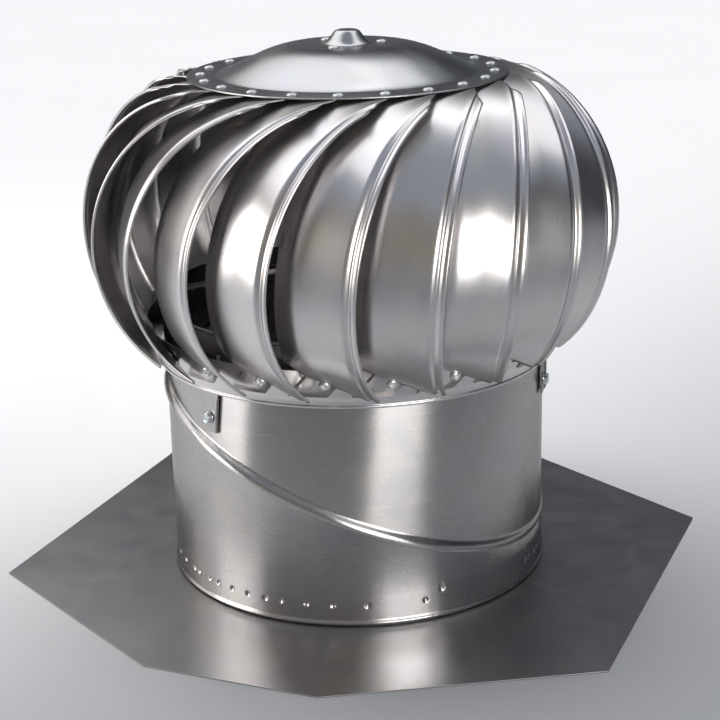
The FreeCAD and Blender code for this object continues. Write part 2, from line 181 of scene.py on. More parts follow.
class VentFinishes(bpy.types.PropertyGroup):
    vane_colour: colour("Vanes", "Mill aluminium of the vanes and the head ring", (0.86, 0.85, 0.85))
    # The collars' aluminium is set darker than the vanes' as painted shade, so that the collars' reflections come out
    # dull; clips, braces and rivets are made from this colour too
    sheet_colour: colour("Collars", "Mill aluminium of collars, clips and braces", (0.58, 0.572, 0.572))
    flashing_colour: colour("Flashing", "Mill aluminium of the flashing", (0.56, 0.56, 0.57))
    cap_colour: colour("Cap", "Mill aluminium of the cap", (0.64, 0.65, 0.67))
    zinc_colour: colour("Zinc", "Zinc-plated screws and nut", (0.80, 0.85, 0.87))
    cast_colour: colour("Cast", "Cast and turned aluminium inside the head", (0.50, 0.50, 0.51))
    gloss: share("Roughness", "Roughness of the mill finish", 0.27)
    wear: share("Wear", "Strength of scratches and handling marks", 0.5)


class VentStage(bpy.types.PropertyGroup):
    floor_colour: colour("Floor", "Colour of the plain floor", (0.80, 0.80, 0.80))
    key_level: share("Right softbox", "Brightness of the softbox right of the camera", 6.0, 20)
    side_level: share("Left softbox", "Brightness of the softbox on the left", 4.5, 20)
    top_level: share("Overhead", "Brightness of the light over the object", 1.25, 20)
    floor_level: share("Floor light", "Brightness of the light over the floor behind the object", 1.1, 20)
    warm_level: share("Warm wall", "Brightness of the low room in front and on the left", 0.16, 20)
    cool_level: share("Cool wall", "Brightness of the low room behind and on the right", 0.03, 20)
    back_level: share("Back wall", "Brightness of the low band behind the object", 0.22, 20)
    high_level: share("High wall", "Brightness of the room above the softboxes", 0.29, 20)


def placed(name, data):
    """New object of the scene, at the origin."""
    thing = bpy.data.objects.new(name, data)
    bpy.context.scene.collection.objects.link(thing)
    return thing


def part_object(name, mesh, material):
    """Object for a finished mesh, shaded smooth."""
    thing = placed(name, mesh)
    mesh.polygons.foreach_set("use_smooth", [True] * len(mesh.polygons))
    mesh.materials.clear()
    mesh.materials.append(material)
    return thing


def mesh_of(name, points, faces):
    mesh = bpy.data.meshes.new(name)
    mesh.from_pydata([tuple(p) for p in points], [], faces)
    mesh.update()
    return mesh


def closed_mesh(name, points, faces):
    """Mesh of a closed surface, with its faces turned round if they make it inside out."""
    p = np.asarray(points)
    volume = 0.0
    for face in faces:
        a = p[face[0]]
        for b, c in zip(face[1:], face[2:]):
            volume += np.dot(a, np.cross(p[b], p[c]))
    return mesh_of(name, points, faces if volume > 0 else [tuple(reversed(face)) for face in faces])


def sharp(rows):
    """Corners that aren't rounded off."""
    return [(row, 0) for row in rows]


def softened(corners, closed=True, steps=4):
    """Corner points with each corner rounded off over its cut in mm; every point may be an array of points."""
    points = [np.asarray(corner, float) for corner, cut in corners]
    out = []
    for i, here in enumerate(points):
        cut = corners[i][1] * MM
        if cut <= 0 or (not closed and i in (0, len(points) - 1)):
            out.append(here)
            continue
        sides = []
        for other in (points[i - 1], points[(i + 1) % len(points)]):
            reach = other - here
            size = np.linalg.norm(reach, axis=-1, keepdims=True)
            sides.append((reach / size, size))
        (back, back_size), (ahead, ahead_size) = sides
        a = here + back * np.minimum(cut, back_size * 0.45)
        b = here + ahead * np.minimum(cut, ahead_size * 0.45)
        out.append(here + back * np.minimum(cut * 1.3, back_size * 0.48))
        for k in range(steps + 1):
            t = k / steps
            out.append((1 - t) ** 2 * a + 2 * t * (1 - t) * here + t * t * b)
        out.append(here + ahead * np.minimum(cut * 1.3, ahead_size * 0.48))
    return out


def ring_mesh(name, rows):
    """Closed tube of a closed outline: rows[i][k] is outline point i at heading k."""
    grid = np.stack(rows)
    count, around = grid.shape[:2]
    faces = []
    for i in range(count):
        for k in range(around):
            i2, k2 = (i + 1) % count, (k + 1) % around
            faces.append((i * around + k, i * around + k2, i2 * around + k2, i2 * around + k))
    return closed_mesh(name, grid.reshape(-1, 3), faces)


def capped_mesh(name, rings, first, last):
    """Closed surface of rings of points, with one point at either end."""
    sides = len(rings[0])
    points = [*np.concatenate(rings), first, last]
    start, end = len(points) - 2, len(points) - 1
    faces = []
    for k in range(sides):
        k2 = (k + 1) % sides
        faces.append((start, k, k2))
        for i in range(len(rings) - 1):
            faces.append((i * sides + k, (i + 1) * sides + k, (i + 1) * sides + k2, i * sides + k2))
        base = (len(rings) - 1) * sides
        faces.append((end, base + k2, base + k))
    return closed_mesh(name, points, faces)


def round_headings(sides):
    return np.arange(sides) * 2 * pi / sides


def polar(headings, r, z):
    return np.stack([r * np.cos(headings), r * np.sin(headings), np.full_like(headings, z)], -1)


def turned_ring(name, corners, sides):
    headings = round_headings(sides)
    return ring_mesh(name, [polar(headings, r, z) for r, z in softened(corners)])


def turned_knob(name, outline, sides):
    """Surface of revolution whose outline starts and ends on the axis."""
    headings = round_headings(sides)
    rings = [polar(headings, r, z) for r, z in outline[1:-1]]
    return capped_mesh(name, rings, (0, 0, outline[0][1]), (0, 0, outline[-1][1]))


def node_copy(name, source, material, edge):
    """Merged copy of a CAD node with its sharp edges broken, for a piece whose solid has the right shape."""
    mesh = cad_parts[source].data
    points, places, index = [], {}, []
    for v in mesh.vertices:
        key = tuple(round(c * MERGE_STEPS) for c in v.co)
        if key not in places:
            places[key] = len(points)
            points.append(tuple(v.co))
        index.append(places[key])
    faces = [tuple(index[v] for v in polygon.vertices) for polygon in mesh.polygons]
    faces = [face for face in faces if len(set(face)) == len(face)]
    copy = part_object(name, mesh_of(name, points, faces), material)
    dissolve = copy.modifiers.new("Flat faces", "DECIMATE")
    dissolve.decimate_type = "DISSOLVE"
    dissolve.angle_limit = radians(0.5)
    return edge_broken(copy, edge)


def edge_broken(rough, edge):
    """The piece with its sharp edges broken and its modifiers applied."""
    bevel = rough.modifiers.new("Broken edges", "BEVEL")
    bevel.width = edge
    bevel.segments = 2
    bevel.limit_method = "ANGLE"
    bevel.angle_limit = radians(28)
    bevel.harden_normals = True
    mesh = bpy.data.meshes.new_from_object(rough.evaluated_get(bpy.context.evaluated_depsgraph_get()))
    name, material = rough.name, rough.data.materials[0]
    bpy.data.objects.remove(rough)
    return part_object(name, mesh, material)


def joined(name, meshes):
    """One mesh of several, all at the origin."""
    points, faces = [], []
    for mesh in meshes:
        start = len(points)
        points += [tuple(v.co) for v in mesh.vertices]
        faces += [tuple(start + v for v in polygon.vertices) for polygon in mesh.polygons]
    return mesh_of(name, points, faces)


def put(piece, body, node_name):
    """Hands a finished piece to its body, in place of its node."""
    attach(piece, body)
    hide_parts(node_name)


def dress(node_name, mesh, finish, body, name=None):
    """Makes a finished piece of a mesh and puts it in place of its node."""
    piece = part_object(name or node_name + "_sheet", mesh, finish_named(finish))
    put(piece, body, node_name)


# Node trees

class Number:
    """A number in a node tree, so that sums with it are written as sums."""

    def __init__(self, tree, socket):
        self.tree, self.socket = tree, socket

    def __add__(self, other):
        return maths(self.tree, "ADD", self, other)

    def __sub__(self, other):
        return maths(self.tree, "SUBTRACT", self, other)

    def __rsub__(self, other):
        return maths(self.tree, "SUBTRACT", other, self)

    def __mul__(self, other):
        return maths(self.tree, "MULTIPLY", self, other)

    def __truediv__(self, other):
        return maths(self.tree, "DIVIDE", self, other)

    def __rtruediv__(self, other):
        return maths(self.tree, "DIVIDE", other, self)

    def ranged(self, low, high, to_low=0.0, to_high=1.0):
        """The number with one range mapped to another, and kept inside it."""
        limits = {"Value": self, "From Min": low, "From Max": high, "To Min": to_low, "To Max": to_high}
        return Number(self.tree, node(self.tree, "ShaderNodeMapRange", limits).outputs[0])


def feed(tree, socket, value):
    """Links a number or another output to an input, or sets the input's own value."""
    if isinstance(value, Number):
        value = value.socket
    if isinstance(value, bpy.types.NodeSocket):
        tree.links.new(value, socket)
    elif value is not None:
        socket.default_value = value


def node(tree, kind, inputs=(), **settings):
    made = tree.nodes.new(kind)
    for key, value in settings.items():
        setattr(made, key, value)
    for key, value in dict(inputs).items():
        feed(tree, made.inputs[key], value)
    return made


def maths(tree, operation, *values):
    return Number(tree, node(tree, "ShaderNodeMath", dict(enumerate(values)), operation=operation).outputs[0])


def split(tree, vector):
    return [Number(tree, socket) for socket in node(tree, "ShaderNodeSeparateXYZ", {0: vector}).outputs]


def combined(tree, *values):
    return node(tree, "ShaderNodeCombineXYZ", dict(enumerate(values))).outputs[0]


def piece_tree(name, *numbers):
    """New tree that takes a piece, numbers and a material; gives it, its inputs' identifiers and the inputs."""
    tree = bpy.data.node_groups.new(name, "GeometryNodeTree")
    tree.interface.new_socket("Geometry", in_out="OUTPUT", socket_type="NodeSocketGeometry")
    kinds = {"Geometry": "NodeSocketGeometry", "Count": "NodeSocketInt", "Material": "NodeSocketMaterial"}
    ids = {}
    for title in ("Geometry", *numbers, "Material"):
        kind = kinds.get(title, "NodeSocketFloat")
        ids[title] = tree.interface.new_socket(title, in_out="INPUT", socket_type=kind).identifier
    source = node(tree, "NodeGroupInput").outputs
    return tree, ids, source, [Number(tree, source[title]) for title in numbers]


def finish_tree(tree, source, geometry):
    realized = node(tree, "GeometryNodeRealizeInstances", {"Geometry": geometry}).outputs[0]
    painted = node(tree, "GeometryNodeSetMaterial", {"Geometry": realized, "Material": source["Material"]})
    node(tree, "NodeGroupOutput", {0: painted.outputs[0]})


def ring_of_copies_tree():
    """Places copies of the incoming piece at even steps round the duct axis, leaned outwards."""
    tree, ids, source, (count, radius, height, first, lean) = piece_tree(
        "Ring of copies", "Count", "Circle radius", "Height", "First heading", "Lean"
    )
    index = node(tree, "GeometryNodeInputIndex").outputs[0]
    heading = maths(tree, "MULTIPLY_ADD", index, 2 * pi / count, first)
    place = combined(tree, radius * maths(tree, "COSINE", heading), radius * maths(tree, "SINE", heading), height)
    points = node(tree, "GeometryNodePoints", {"Count": count, "Position": place}).outputs[0]
    rotation = node(tree, "FunctionNodeEulerToRotation", {0: combined(tree, None, lean, heading)}).outputs[0]
    copies = {"Points": points, "Instance": source["Geometry"], "Rotation": rotation}
    finish_tree(tree, source, node(tree, "GeometryNodeInstanceOnPoints", copies).outputs[0])
    return tree, ids


def rolled_vane_tree():
    """Rolls a flat strip (X across, Y along, Z lift) over a level cylinder and sets it at an angle to the rim."""
    tree, ids, source, numbers = piece_tree("Rolled vane", *VANE_INPUTS, "Heading")
    outer_radius, mid_height, upper_bend, lower_bend, set_angle, lean, heading = numbers

    def turned(value):
        return maths(tree, "COSINE", value), maths(tree, "SINE", value)

    across, along, lift = split(tree, node(tree, "GeometryNodeInputPosition").outputs[0])
    above = maths(tree, "GREATER_THAN", along, 0.0)
    bend = upper_bend * above + lower_bend * (1.0 - above)
    level, steep = turned(maths(tree, "MINIMUM", along / bend, pi / 2))
    past = maths(tree, "MAXIMUM", along - bend * (pi / 2), 0.0)
    inward = bend * (1.0 - level) + past - lift * level
    rise = bend * steep
    sideways = across - lean * rise
    cosine, sine = turned(set_angle)
    x = outer_radius - (inward * cosine + sideways * sine)
    y = inward * sine - sideways * cosine
    z = mid_height + rise + lift * steep
    cosine, sine = turned(heading)
    place = combined(tree, x * cosine - y * sine, x * sine + y * cosine, z)
    moved = {"Geometry": source["Geometry"], "Position": place}
    finish_tree(tree, source, node(tree, "GeometryNodeSetPosition", moved).outputs[0])
    return tree, ids


def grown(name, mesh, built, finish, values):
    """Plain mesh that a tree makes from a seed mesh; the seed and its modifier are gone afterwards."""
    tree, ids = built
    seed = placed(name + "_seed", mesh)
    modifier = seed.modifiers.new(tree.name, "NODES")
    modifier.node_group = tree
    modifier[ids["Material"]] = finish_named(finish)
    for key, value in values.items():
        modifier[ids[key]] = value
    seed.update_tag()
    bpy.context.view_layer.update()
    made = bpy.data.meshes.new_from_object(seed.evaluated_get(bpy.context.evaluated_depsgraph_get()))
    seed.modifiers.clear()
    bpy.data.objects.remove(seed)
    made.name = name
    return made


def ring_of(name, mesh, tree, finish, count, radius, height, first, lean=0.0):
    """Copies of a fastener round the duct axis, the first at a heading in degrees."""
    return grown(name, mesh, tree, finish, {
        "Count": count, "Circle radius": radius, "Height": height, "First heading": radians(first), "Lean": lean,
    })


# Finishes

def mapped(tree, vector, scale, turn=(0, 0, 0)):
    return node(tree, "ShaderNodeMapping", {"Vector": vector, "Rotation": turn, "Scale": scale}).outputs[0]


def noise(tree, vector, scale, detail=2.0, distortion=0.0):
    inputs = {"Vector": vector, "Scale": scale, "Detail": detail, "Distortion": distortion}
    return Number(tree, node(tree, "ShaderNodeTexNoise", inputs).outputs[0])


def mixed(tree, share_of_b, a, b):
    a, b = (value if isinstance(value, bpy.types.NodeSocket) else (*value, 1) for value in (a, b))
    return node(tree, "ShaderNodeMix", {0: share_of_b, 6: a, 7: b}, data_type="RGBA").outputs[2]


def bump(tree, height, strength, distance, over=None):
    inputs = {"Height": height, "Strength": strength, "Distance": distance, "Normal": over}
    return node(tree, "ShaderNodeBump", inputs).outputs[0]


def object_coordinates(tree):
    return node(tree, "ShaderNodeTexCoord").outputs["Object"]


def wrapped_coordinates(tree):
    """Object coordinates unrolled round the duct axis: distance round, height and radius."""
    x, y, z = split(tree, object_coordinates(tree))
    return combined(tree, maths(tree, "ARCTAN2", y, x) * WRAP_R, z, maths(tree, "SQRT", x * x + y * y))


def strip_coordinates(tree):
    return node(tree, "ShaderNodeUVMap", uv_map="strip").outputs[0]


def scaled(tint, by):
    """Colour times a number, or times another colour."""
    return tuple(min(1.0, c * s) for c, s in zip(tint, by if isinstance(by, tuple) else (by,) * 3))


def new_material(name, metallic=1.0):
    """Gives a new material, its tree and the inputs of its shader."""
    material = bpy.data.materials.new(name)
    material.use_nodes = True
    inputs = material.node_tree.nodes["Principled BSDF"].inputs
    inputs["Metallic"].default_value = metallic
    return material, material.node_tree, inputs


def mill_finish(name, tint, roughness, where, grain, wear, wave, anisotropic=0.0, turn=0.0):
    """Rolled aluminium sheet: rolling grain, cloudy patches, smudges, thin handling scratches and a slight waviness."""
    material, tree, shader = new_material(name)
    shader["Anisotropic"].default_value = anisotropic
    shader["Anisotropic Rotation"].default_value = turn
    # Low edge tint: painted shade on the sheet at glancing angles
    shader["Specular Tint"].default_value = (SHADED_EDGE_TINT, SHADED_EDGE_TINT, SHADED_EDGE_TINT, 1)
    vector = where(tree)
    lines = noise(tree, mapped(tree, vector, grain), 1.0, 1.0)
    cloud = noise(tree, vector, 14.0, 3.0, 0.3)
    patch = noise(tree, mapped(tree, vector, (1, 1, 1), (0.3, 0.2, 0.9)), 26.0, 2.0, 0.8)
    cut_a = noise(tree, mapped(tree, vector, (1500, 90, 90), (0, 0, 0.62)), 1.0, 0.0)
    cut_b = noise(tree, mapped(tree, vector, (70, 1300, 70), (0, 0, 0.17)), 1.0, 0.0)
    marks = maths(tree, "MAXIMUM", cut_a.ranged(0.74, 0.80), cut_b.ranged(0.75, 0.81))
    marks = marks * patch.ranged(0.56, 0.66, 0.0, wear)
    base = mixed(tree, cloud.ranged(0.35, 0.65), scaled(tint, (0.94, 0.915, 0.95)), tint)
    base = mixed(tree, patch.ranged(0.40, 0.64, 0.0, 0.8), base, scaled(tint, (1.0, 0.975, 0.925)))
    base = mixed(tree, lines.ranged(0.35, 0.65, 0.0, 0.2), base, scaled(tint, 1.05))
    feed(tree, shader["Base Color"], mixed(tree, marks, base, scaled(tint, 1.12)))
    rough = lines.ranged(0.3, 0.7, roughness - 0.006, roughness + 0.006) + patch.ranged(0.35, 0.7, -0.012, 0.02)
    feed(tree, shader["Roughness"], maths(tree, "MULTIPLY_ADD", marks, 0.12, rough))
    fine = bump(tree, maths(tree, "MULTIPLY_ADD", marks, -0.8, lines * 0.03), 0.3, 0.00003)
    feed(tree, shader["Normal"], bump(tree, noise(tree, vector, 17.0, 1.0, 0.2), 1.0, wave, fine))
    return material


def small_part_finish(name, tint, roughness, speckle, scale):
    """Plated, cast or turned metal of a small part: mottled tone and a slightly uneven surface."""
    material, tree, shader = new_material(name)
    mottle = noise(tree, object_coordinates(tree), scale, 4.0, 0.3)
    feed(tree, shader["Base Color"], mixed(tree, mottle.ranged(0.3, 0.7), scaled(tint, 1 - speckle), tint))
    feed(tree, shader["Roughness"], mottle.ranged(0.3, 0.7, roughness + 0.07, roughness - 0.05))
    feed(tree, shader["Normal"], bump(tree, mottle, 0.3, 0.00008))
    return material


def finish_named(name):
    """The material of that name, made the first time it is asked for."""
    if name in bpy.data.materials:
        return bpy.data.materials[name]
    f = bpy.context.scene.vent_finishes
    # The collar sheet colour holds painted shade: it is darker than the vanes' aluminium, so that the collars reflect
    # darker
    sheet, vane, zinc = tuple(f.sheet_colour), tuple(f.vane_colour), tuple(f.zinc_colour)
    # Colour, roughness, depth of the mottle and its scale
    small_parts = {
        "cast tube": (tuple(f.cast_colour), 0.45, 0.2, 260),
        "rivet": (scaled(sheet, 1.4), 0.17, 0.12, 500),
        "zinc steel": (zinc, 0.17, 0.15, 420),
        "bearing steel": (scaled(zinc, 0.85), 0.2, 0.1, 300),
    }
    if name in small_parts:
        return small_part_finish(name, *small_parts[name])
    # Colour, added roughness, coordinates, grain, share of the wear, waviness in mm, anisotropy and its turn
    tint, added, where, grain, worn, wave, *anisotropy = {
        "flashing sheet": (tuple(f.flashing_colour), 0.05, object_coordinates, (40, 1500, 40), 1.0, 0.25),
        "collar sheet": (sheet, 0.0, wrapped_coordinates, (5, 380, 40), 0.0, 0.3, 0.8, 0.25),
        "vane sheet": (vane, 0.02, strip_coordinates, (700, 8, 1), 0.4, 1.0),
        "cap sheet": (tuple(f.cap_colour), 0.0, object_coordinates, (30, 2400, 30), 1.0, 0.7),
        "ring sheet": (vane, -0.05, wrapped_coordinates, (8, 600, 60), 0.3, 0.4),
        "clip sheet": (scaled(sheet, 0.82), 0.06, wrapped_coordinates, (500, 24, 60), 0.0, 0.2),
        "brace strip": (sheet, 0.05, object_coordinates, (200, 200, 30), 1.0, 0.3),
    }[name]
    return mill_finish(name, tint, f.gloss + added, where, grain, f.wear * worn, wave * MM, *anisotropy)


# Forms

def seam_points(sizes, headings, r, offset):
    """Points at a radius and height measured from the tilted plane of the seam."""
    axis = sizes.seam_heading + pi / 2
    turn = np.array(Matrix.Rotation(sizes.seam_tilt, 3, Vector((cos(axis), sin(axis), 0))))
    return polar(headings, r, offset) @ turn.T + np.array([0, 0, sizes.seam_height])


def between(a, b, count):
    return [a + (b - a) * k / (count + 1) for k in range(1, count + 1)]


def flared(start, end, count):
    """Rows between two circles, level with the first at its edge and opening towards the second."""
    out = []
    for k in range(1, count + 1):
        t = k / (count + 1)
        row = start + (end - start) * t
        r = np.hypot(start[:, 0], start[:, 1]) * (1 - t ** 1.6) + np.hypot(end[:, 0], end[:, 1]) * t ** 1.6
        row[:, :2] *= (r / np.hypot(row[:, 0], row[:, 1]))[:, None]
        out.append(row)
    return out


def collar_headings():
    """Headings with a close set at each dimple and even steps elsewhere."""
    offsets = (-1.3, -0.98, -0.72, -0.46, -0.22, 0, 0.22, 0.46, 0.72, 0.98, 1.3)
    found = sorted((d + o) % 360 for d in DIMPLES for o in offsets)
    out = []
    for here, ahead in zip(found, found[1:] + [found[0] + 360]):
        steps = max(1, round((ahead - here) / 1.8))
        out += [here + (ahead - here) * k / steps for k in range(steps)]
    return np.radians(np.array(out))


def lower_collar_mesh(sizes):
    headings = collar_headings()
    level, slanted = partial(polar, headings), partial(seam_points, sizes, headings)
    outer, inner, seam = sizes.duct_radius, sizes.duct_radius - SHEET, sizes.seam_radius
    low = -SEAM_HEM / 2 - 2 * SHEET - 2 * GAP
    at = sizes.dimple_height
    band = [start + k * sizes.dimple_radius / 4
            for start, ks in ((at, range(-5, 6)), (at + HIGH_DIMPLE_LIFT, range(-5, 3))) for k in ks]
    outside, inside = level(outer, COLLAR_STRAIGHT), level(inner, COLLAR_STRAIGHT)
    grid = np.stack(softened([
        (level(inner, COLLAR_START), 0.3), (level(outer, COLLAR_START), 0.4),
        (level(outer + sizes.bead, FOOT_BEAD_HEIGHT), 1.1), (level(outer, FOOT_BEAD_HEIGHT + sizes.bead * 1.3), 1.0),
        *sharp(level(outer, z) for z in band), (outside, 0), *sharp(flared(outside, slanted(seam, low), 7)),
        (slanted(seam, low), 0.6), (slanted(seam, -SEAM_HEM / 2 - SHEET), 0.4),
        (slanted(seam + SEAM_HEM, -SEAM_HEM / 2), 0.6), (slanted(seam + SEAM_HEM, SEAM_HEM / 2), 0.6),
        (slanted(seam - SHEET, SEAM_HEM / 2), 0.5), (slanted(seam - SHEET, low), 0.6),
        *sharp(reversed(flared(inside, slanted(seam - SHEET, low), 7))), (inside, 0),
        *sharp(level(inner, z) for z in reversed(band)),
    ]))
    for d in DIMPLES:
        place = at + (HIGH_DIMPLE_LIFT if d == HIGH_DIMPLE else 0)
        axis = np.array([cos(radians(d)), sin(radians(d)), 0])
        side = np.array([-axis[1], axis[0], 0])
        away = np.hypot(grid @ side, grid[..., 2] - place) / sizes.dimple_radius
        depth = sizes.dimple_depth * np.clip(1 - away ** 2, 0, 1) ** 1.5
        depth[(grid @ axis < 0) | (grid[..., 2] > COLLAR_STRAIGHT + 3 * MM)] = 0
        grid -= depth[..., None] * axis
    return ring_mesh("lower_collar_sheet", grid)


def upper_collar_mesh(sizes):
    headings = round_headings(240)
    level, slanted = partial(polar, headings), partial(seam_points, sizes, headings)
    outer, inner, seam = sizes.duct_radius, sizes.duct_radius - SHEET, sizes.seam_radius
    top, low, reach = SEAM_HEM / 2 + GAP, -SEAM_HEM / 2 - SHEET - GAP, seam + SEAM_HEM + GAP
    shoulder, inner_shoulder = slanted(seam, top + SEAM_SHOULDER), slanted(seam - SHEET, top + SEAM_SHOULDER)
    round_outside, round_inside = level(outer, COLLAR_ROUND), level(inner, COLLAR_ROUND)
    return ring_mesh("upper_collar_sheet", softened([
        (slanted(seam - SHEET, top), 0.4), (slanted(reach, top), 0.5), (slanted(reach, low + SHEET), 0.5),
        (slanted(seam + GAP + SHEET, low), 0.3), (slanted(seam + GAP + SHEET, low - SHEET * 0.9), 0.3),
        (slanted(reach + 0.9 * SHEET, low - 0.2 * MM), 0.8), (slanted(reach + 0.95 * SHEET, 0.6 * MM), 0.9),
        (slanted(reach - 0.5 * MM, top + 1.2 * MM), 0.9), (shoulder, 1.4),
        *sharp(between(shoulder, round_outside, 10)), (round_outside, 1.5),
        (level(outer, COLLAR_TOP), 0.3), (level(inner, COLLAR_TOP), 0.3), (round_inside, 1.5),
        *sharp(between(round_inside, inner_shoulder, 4)), (inner_shoulder, 1.0),
    ]))


def throat_ring_mesh(sizes):
    inner = sizes.duct_radius + SEAT
    outer = inner + SHEET
    bottom, top = THROAT
    return turned_ring("throat_ring_sheet", [
        ((inner, bottom), 0.2), ((outer, bottom), 0.2), ((outer, top - 2.6 * MM), 0.5),
        ((outer + 1.2 * MM, top - 1.9 * MM), 0.8), ((outer + 1.2 * MM, top - 0.3 * MM), 0.8),
        ((outer - 0.1 * MM, top), 0.6), ((inner, top), 0.3),
    ], 240)


def clip_gauge(sizes, heading):
    """Radii of the inner face of a clip at its bend and at its foot, where it follows the collar."""
    at = np.array([radians(heading)])
    shoulder = seam_points(sizes, at, sizes.seam_radius, SEAM_HEM / 2 + GAP + SEAM_SHOULDER)[0]
    top = polar(at, sizes.duct_radius, COLLAR_ROUND)[0]
    wall = top + (shoulder - top) * ((COLLAR_ROUND - CLIP_FOOT) / (COLLAR_ROUND - shoulder[2]))
    bend = sizes.duct_radius + 2 * SEAT + SHEET
    return bend, max(hypot(wall[0], wall[1]) + 0.4 * MM, bend)


def clip_radius(gauge, z):
    bend, foot = gauge
    return bend + (foot - bend) * min(max((CLIP_BEND - z) / (CLIP_BEND - CLIP_FOOT), 0), 1)


def clip_mesh(sizes, heading):
    """Strip with one edge folded out, hanging from the throat ring outside the collar."""
    gauge = clip_gauge(sizes, heading)
    a = radians(heading)
    out = np.array([cos(a), sin(a), 0])
    side = np.array([-sin(a), cos(a), 0])
    # Height, inset of the free edge and depth of the fold in mm
    rows = ((CLIP_FOOT, 2.4, 0.5), (CLIP_FOOT + 1.6 * MM, 1.9, 1.1), (168 * MM, 1.2, 1.2), (176 * MM, 0.5, 1.1),
            (182 * MM, 0.0, 0.4), (CLIP_BEND, 0.0, 0.1), (CLIP_TOP, 0.0, 0.1))
    points, faces = [], []
    for z, inset, depth in rows:
        r = clip_radius(gauge, z)
        low, high = -CLIP_WIDTH / 2 + inset * MM, CLIP_WIDTH / 2
        face, fold = r + CLIP_SHEET, r + CLIP_SHEET + depth * MM
        section = ((r, low), (r, high), (fold, high), (fold, high - CLIP_SHEET), (face, high - CLIP_SHEET), (face, low))
        points += [out * x + side * y + np.array([0, 0, z]) for x, y in section]
    for j in range(len(rows) - 1):
        for k in range(6):
            faces.append((6 * j + k, 6 * j + (k + 1) % 6, 6 * j + 6 + (k + 1) % 6, 6 * j + 6 + k))
    top = 6 * (len(rows) - 1)
    faces += [(5, 4, 1, 0), (4, 3, 2, 1), (top, top + 1, top + 4, top + 5), (top + 1, top + 2, top + 3, top + 4)]
    return closed_mesh("clip", points, faces)


def rotor_ring_mesh():
    inner = RING_R - SHEET
    bottom, band_top, top = RING_HEIGHTS
    return turned_ring("rotor_ring_sheet", [
        ((inner, bottom), 0.3), ((RING_R + 1 * MM, bottom), 0.7), ((RING_R + 1 * MM, bottom + 2 * MM), 0.7),
        ((RING_R, bottom + 2.2 * MM), 0.4), ((RING_R, band_top), 2.2), ((RING_TOP_R, top), 0.25),
        ((RING_TOP_R - SHEET, top), 0.25), ((inner, band_top), 2.2),
    ], 252)


def dome_height(sizes, r):
    part = min(max((CAP_RIM_INNER - r) / (CAP_RIM_INNER - CAP_SEAT), 0), 1)
    return CAP_UNDERSIDE + SHEET + sizes.rise * sin(part * pi / 2) ** DOME_FULLNESS


def cap_mesh(sizes):
    """Pressed cap with a hemmed rim, a crisp step up to the dome and a rounded boss."""
    seat = dome_height(sizes, 0)
    nub = seat + sizes.nub_height
    dome = [(r, dome_height(sizes, r)) for r in np.linspace(CAP_SEAT, CAP_RIM_INNER, 26)]
    outline = softened([
        ((0, nub), 0), ((sizes.nub_top * 0.8, nub - 0.2 * MM), 1.6), ((sizes.nub_top, nub - 1.4 * MM), 1.6),
        ((sizes.nub_radius - 1.6 * MM, seat + 1.6 * MM), 2.4), ((sizes.nub_radius + 1.4 * MM, seat), 1.6),
        *sharp(dome[:-1]), (dome[-1], 1.0),
        ((sizes.radius - 0.3 * MM, CAP_UNDERSIDE + SHEET), 0.5), ((sizes.radius, CAP_UNDERSIDE + 0.1 * MM), 0.4),
        ((sizes.radius - 0.6 * MM, CAP_UNDERSIDE - 0.6 * MM), 0.4), ((sizes.radius - 2.2 * MM, CAP_UNDERSIDE), 0.3),
        *sharp((r, z - SHEET) for r, z in reversed(dome)),
        ((sizes.nub_radius + 0.8 * MM, seat - SHEET), 1), ((sizes.nub_radius - 2.4 * MM, seat + 1.6 * MM - SHEET), 1),
        ((sizes.nub_top - SHEET, nub - 1.6 * MM - SHEET), 1), ((0, nub - SHEET), 0),
    ], closed=False)
    return turned_knob("cap_sheet", outline, 168)


def rivet_mesh(radius, height):
    """Blind rivet head with the open end of its mandrel hole."""
    shares = ((0, 0.22), (0.34, 0.24), (0.38, 0.55), (0.42, 0.88), (0.50, 1), (0.62, 0.97), (0.78, 0.80), (0.92, 0.48),
              (1, 0.18), (1, 0), (0, 0))
    return turned_knob("rivet", [(r * radius, z * height) for r, z in shares], 18)


def screw_mesh():
    """Hexagon-headed sheet screw with a flange and a pointed thread, lying along +X from its seat."""
    headings = round_headings(24)
    hexagon = SCREW_HEXAGON / np.cos((headings + pi / 6) % (pi / 3) - pi / 6)
    # Place along the screw and radius, in mm, from the dished top of the head to the point
    dished = ((3.7, 2.1), (3.75, 3.0), (4.1, 3.4))
    flange = ((1.1, 4.5), (0.7, 4.85), (0.1, 4.85), (0.0, 4.7))
    thread = [pair for k in range(9) for pair in ((-(1.0 + k), 1.5), (-(1.5 + k), 1.9))]

    def round_at(pairs):
        return [(x * MM, np.full(len(headings), 1.0) * r * MM) for x, r in pairs]

    stations = round_at(dished) + [(3.8 * MM, hexagon), (1.2 * MM, hexagon)] + round_at((*flange, *thread))
    rings = [[(x, r * cos(a), r * sin(a)) for r, a in zip(radii, headings)] for x, radii in stations]
    return capped_mesh("screw", rings, (3.55 * MM, 0, 0), (-10.6 * MM, 0, 0))


def vane_fade(along, ends):
    start, end = ends
    t = min(max((abs(along) - start) / (end - start), 0), 1)
    return 1 - t * t * (3 - 2 * t)


